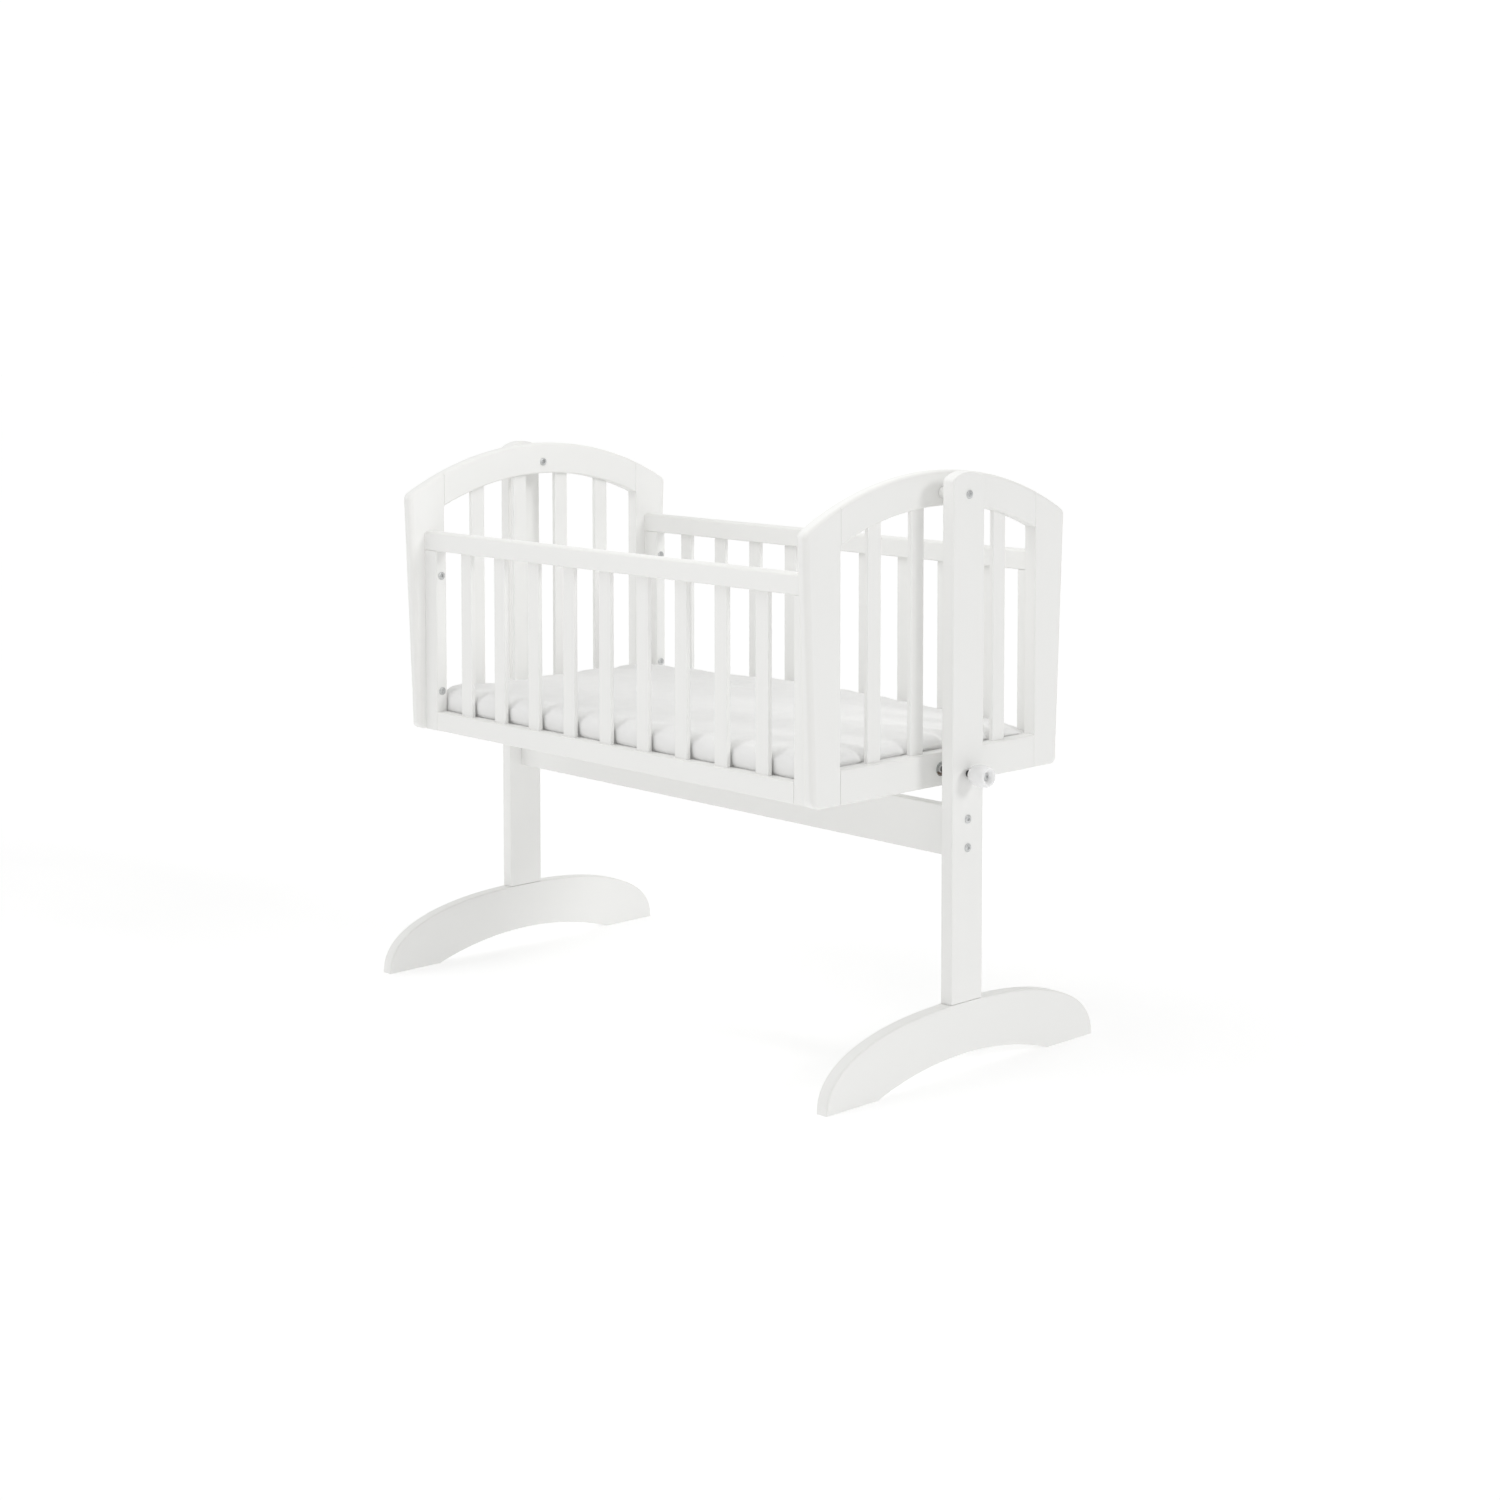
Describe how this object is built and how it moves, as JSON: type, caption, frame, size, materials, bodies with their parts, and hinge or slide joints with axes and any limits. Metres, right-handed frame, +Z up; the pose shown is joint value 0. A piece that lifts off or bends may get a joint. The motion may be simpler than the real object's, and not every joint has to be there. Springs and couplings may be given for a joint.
{
  "type": "swinging cradle on stand",
  "caption": "White slatted wooden cradle with arched ends, hung between the posts of a stand with arched feet; it swings on two pivots and has a knobbed lock pin and a mattress.",
  "frame": {"origin": "on the floor under the middle of the object's bounding box", "axes": "+X along the cradle towards the end with the lock knob, +Y across it towards the back, +Z up"},
  "size_m": [1.112, 0.592, 0.8999],
  "materials": {
    "white_paint": "satin white paint on wood",
    "zinc_hardware": "zinc plated",
    "dark_steel": "blackened steel",
    "white_nylon": "white nylon",
    "white_knob": "smooth white",
    "beech_dowel": "plain beech",
    "mattress_cover": "white cotton cover over foam"
  },
  "bodies": {
    "stand": {"post_left": "white_paint", "post_right": "white_paint", "foot_left": "white_paint", "foot_right": "white_paint", "stretcher": "white_paint", "stretcher_bolts": "zinc_hardware", "stretcher_barrel_nuts": "zinc_hardware", "foot_bolts": "zinc_hardware", "foot_inserts": "zinc_hardware", "pivot_bolt_left": "zinc_hardware", "pivot_bolt_right": "zinc_hardware", "pivot_sleeve_nut_left": "zinc_hardware", "pivot_sleeve_nut_right": "zinc_hardware", "pivot_spacer_left": "white_nylon", "pivot_spacer_right": "white_nylon"},
    "cradle": {"end_stile_left_front": "white_paint", "end_stile_left_back": "white_paint", "end_stile_right_front": "white_paint", "end_stile_right_back": "white_paint", "end_arch_left": "white_paint", "end_arch_right": "white_paint", "end_bottom_rail_left": "white_paint", "end_bottom_rail_right": "white_paint", "end_slats_left": "white_paint", "end_slats_right": "white_paint", "end_dowels": "beech_dowel", "pivot_bush_left": "white_nylon", "pivot_bush_right": "white_nylon", "side_top_rail_front": "white_paint", "side_top_rail_back": "white_paint", "side_bottom_rail_front": "white_paint", "side_bottom_rail_back": "white_paint", "side_upright_front_left": "white_paint", "side_upright_front_right": "white_paint", "side_upright_back_left": "white_paint", "side_upright_back_right": "white_paint", "side_slats_front": "white_paint", "side_slats_back": "white_paint", "side_dowels": "beech_dowel", "side_bolts": "zinc_hardware", "side_inserts": "zinc_hardware", "base_ledge_front": "white_paint", "base_ledge_back": "white_paint", "base_slats_set": "white_paint", "ledge_screws": "zinc_hardware", "base_screws": "zinc_hardware", "mattress": "mattress_cover", "lock_socket": "dark_steel"},
    "lock_pin": {"lock_rod": "dark_steel", "lock_knob": "white_knob", "lock_knob_screw": "zinc_hardware"}
  },
  "joints": [
    {"name": "cradle_swing", "type": "hinge", "parent": "stand", "child": "cradle", "pos_m": [-0.02, 0, 0.866], "axis": [1, 0, 0], "range_deg": [-17, 17]},
    {"name": "lock_slide", "type": "slide", "parent": "stand", "child": "lock_pin", "axis": [1, 0, 0], "range_m": [0, 0.02]}
  ]
}
